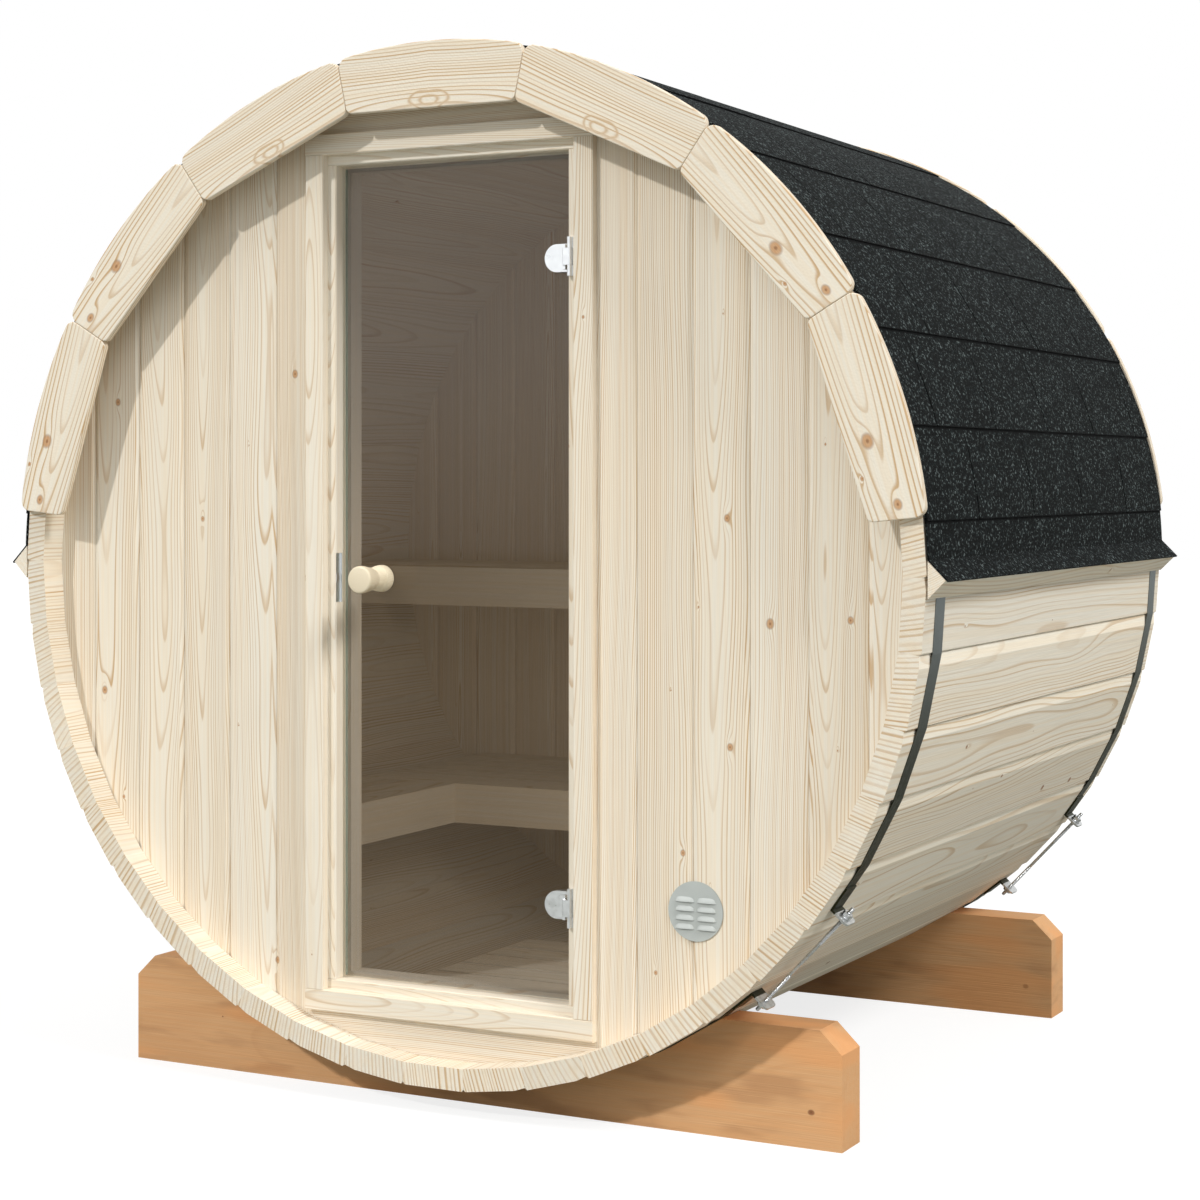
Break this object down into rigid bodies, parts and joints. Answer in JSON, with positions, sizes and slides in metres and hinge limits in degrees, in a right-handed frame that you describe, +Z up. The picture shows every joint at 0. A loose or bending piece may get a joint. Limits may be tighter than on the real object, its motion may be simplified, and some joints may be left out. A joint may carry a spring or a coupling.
{
  "type": "barrel sauna",
  "caption": "Horizontal stave barrel sauna on cradle skids, with a hinged glass door in a board wall, shingled roof, steel bands and inner benches.",
  "frame": {"origin": "middle of the rectangle the object covers on the ground, at ground level", "axes": "+Z up; the glass door faces -Y; the barrel's axis runs along Y and +X is to the right of someone who looks at the door"},
  "size_m": [2.0278, 1.5306, 2.008],
  "materials": {
    "stave_wood": "planed, unfinished",
    "wall_wood": "planed, unfinished",
    "frame_wood": "planed, unfinished",
    "trim_wood": "planed, unfinished",
    "bench_wood": "planed, unfinished",
    "skid_wood": "impregnated, rough planed",
    "knob_wood": "turned, smooth",
    "bitumen_shingle": "mineral granules, matt",
    "galvanised_steel": "galvanised",
    "strapping_steel": "dull, oiled",
    "hinge_metal": "satin",
    "vent_metal": "light grey, satin",
    "tinted_glass": "bronze-grey tint, clear"
  },
  "bodies": {
    "barrel": {"staves_01": "stave_wood", "staves_02": "stave_wood", "staves_03": "stave_wood", "staves_04": "stave_wood", "staves_05": "stave_wood", "staves_06": "stave_wood", "staves_07": "stave_wood", "staves_08": "stave_wood", "staves_09": "stave_wood", "staves_10": "stave_wood", "front_wall_left": "wall_wood", "front_wall_right": "wall_wood", "wall_over_door": "wall_wood", "wall_under_door": "wall_wood", "rear_wall_left": "wall_wood", "rear_wall_middle": "wall_wood", "rear_wall_right": "wall_wood", "door_head": "frame_wood", "door_sill": "frame_wood", "door_jamb_left": "frame_wood", "door_jamb_right": "frame_wood", "front_fascia": "trim_wood", "rear_fascia": "trim_wood", "eave_batten_left": "trim_wood", "eave_batten_right": "trim_wood", "upper_bench": "bench_wood", "lower_bench": "bench_wood", "side_bench": "bench_wood", "duckboard": "bench_wood", "front_skid": "skid_wood", "rear_skid": "skid_wood", "roofing_left": "bitumen_shingle", "roofing_right": "bitumen_shingle", "front_band": "strapping_steel", "rear_band": "strapping_steel", "front_tensioner": "galvanised_steel", "rear_tensioner": "galvanised_steel", "jamb_hinges": "hinge_metal", "door_catch": "hinge_metal", "vent_grille": "vent_metal"},
    "door": {"door_glass": "tinted_glass", "door_hinges": "hinge_metal", "door_knob": "knob_wood"}
  },
  "joints": [
    {"name": "door_hinge", "type": "hinge", "parent": "barrel", "child": "door", "pos_m": [0.262, -0.6978, 1.023], "axis": [0, 0, 1], "range_deg": [0, 110]}
  ]
}
